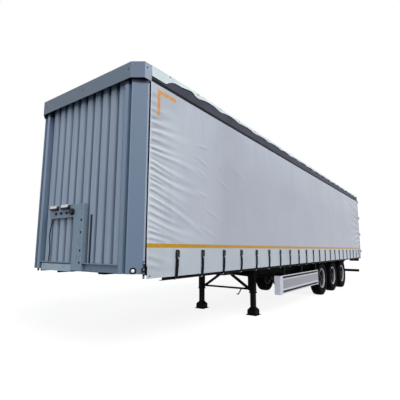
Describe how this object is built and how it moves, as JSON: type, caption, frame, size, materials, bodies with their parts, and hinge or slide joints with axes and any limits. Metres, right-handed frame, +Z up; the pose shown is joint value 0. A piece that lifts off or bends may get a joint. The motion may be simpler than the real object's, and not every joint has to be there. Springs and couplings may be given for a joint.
{
  "type": "three-axle curtain-side semi-trailer",
  "caption": "Curtain-side semi-trailer with ribbed front wall, strapped side curtains, hinged rear doors and landing legs, parked on its wheels and legs.",
  "frame": {"origin": "on the ground, at the middle of the trailer's overall length and width", "axes": "+X towards the rear doors, +Y towards the trailer's right side, +Z up"},
  "size_m": [14.608, 2.564, 4],
  "materials": {
    "chassis_paint": "satin",
    "forged_steel": "greased",
    "plywood": "film faced",
    "body_paint": "semi-gloss",
    "rail_aluminium": "mill",
    "roof_fabric": "coated",
    "curtain_fabric": "coated",
    "webbing": "woven",
    "black_steel": "matt",
    "zinc_steel": "zinc plated",
    "door_panel": "semi-gloss",
    "coupling_metal": "cast",
    "lamp_plastic": "clear lens",
    "guard_paint": "semi-gloss",
    "line_rubber": "satin",
    "spring_rubber": "matt",
    "tyre": "matt",
    "wheel_paint": "silver"
  },
  "bodies": {
    "trailer": {"main_beams": "chassis_paint", "cross_members": "chassis_paint", "side_raves": "chassis_paint", "coupler_plate": "chassis_paint", "kingpin": "forged_steel", "deck_floor": "plywood", "front_wall": "body_paint", "front_posts": "body_paint", "front_sill": "body_paint", "front_hood": "body_paint", "cant_rails": "rail_aluminium", "roof_bows": "rail_aluminium", "roof_sheet": "roof_fabric", "side_posts": "rail_aluminium", "curtain_poles": "black_steel", "service_lines": "line_rubber", "curtain_left": "curtain_fabric", "curtain_right": "curtain_fabric", "curtain_straps": "webbing", "strap_buckles": "black_steel", "strap_hooks": "zinc_steel", "rear_frame": "body_paint", "service_bracket": "body_paint", "service_couplings": "coupling_metal", "front_marker_lamps": "lamp_plastic", "landing_gear_legs": "chassis_paint", "landing_gear_feet": "chassis_paint", "landing_gear_braces": "chassis_paint", "side_guards": "guard_paint", "guard_hangers": "chassis_paint", "axles": "chassis_paint", "suspension_hangers": "chassis_paint", "trailing_arms": "chassis_paint", "air_springs": "spring_rubber", "rear_bumper": "chassis_paint", "rear_lamps": "lamp_plastic"},
    "wheel_left_1_turning": {"tyre_left_1": "tyre", "wheel_left_1": "wheel_paint"},
    "wheel_right_1_turning": {"tyre_right_1": "tyre", "wheel_right_1": "wheel_paint"},
    "wheel_left_2_turning": {"tyre_left_2": "tyre", "wheel_left_2": "wheel_paint"},
    "wheel_right_2_turning": {"tyre_right_2": "tyre", "wheel_right_2": "wheel_paint"},
    "wheel_left_3_turning": {"tyre_left_3": "tyre", "wheel_left_3": "wheel_paint"},
    "wheel_right_3_turning": {"tyre_right_3": "tyre", "wheel_right_3": "wheel_paint"},
    "door_left": {"rear_door_left": "door_panel", "door_hinges_left": "zinc_steel", "lock_bars_left": "zinc_steel"},
    "door_right": {"rear_door_right": "door_panel", "door_hinges_right": "zinc_steel", "lock_bars_right": "zinc_steel"}
  },
  "joints": [
    {"name": "wheel_left_1_spin", "type": "hinge", "parent": "trailer", "child": "wheel_left_1_turning", "pos_m": [1.24, -0.96, 0.5425], "axis": [0, 1, 0], "continuous": true},
    {"name": "wheel_right_1_spin", "type": "hinge", "parent": "trailer", "child": "wheel_right_1_turning", "pos_m": [1.24, 0.96, 0.5425], "axis": [0, 1, 0], "continuous": true},
    {"name": "wheel_left_2_spin", "type": "hinge", "parent": "trailer", "child": "wheel_left_2_turning", "pos_m": [2.62, -0.96, 0.5425], "axis": [0, 1, 0], "continuous": true},
    {"name": "wheel_right_2_spin", "type": "hinge", "parent": "trailer", "child": "wheel_right_2_turning", "pos_m": [2.62, 0.96, 0.5425], "axis": [0, 1, 0], "continuous": true},
    {"name": "wheel_left_3_spin", "type": "hinge", "parent": "trailer", "child": "wheel_left_3_turning", "pos_m": [4, -0.96, 0.5425], "axis": [0, 1, 0], "continuous": true},
    {"name": "wheel_right_3_spin", "type": "hinge", "parent": "trailer", "child": "wheel_right_3_turning", "pos_m": [4, 0.96, 0.5425], "axis": [0, 1, 0], "continuous": true},
    {"name": "door_left_hinge", "type": "hinge", "parent": "trailer", "child": "door_left", "pos_m": [7.285, -1.267, 2.5], "axis": [0, 0, -1], "range_deg": [0, 270]},
    {"name": "door_right_hinge", "type": "hinge", "parent": "trailer", "child": "door_right", "pos_m": [7.285, 1.267, 2.5], "axis": [0, 0, 1], "range_deg": [0, 270]}
  ]
}
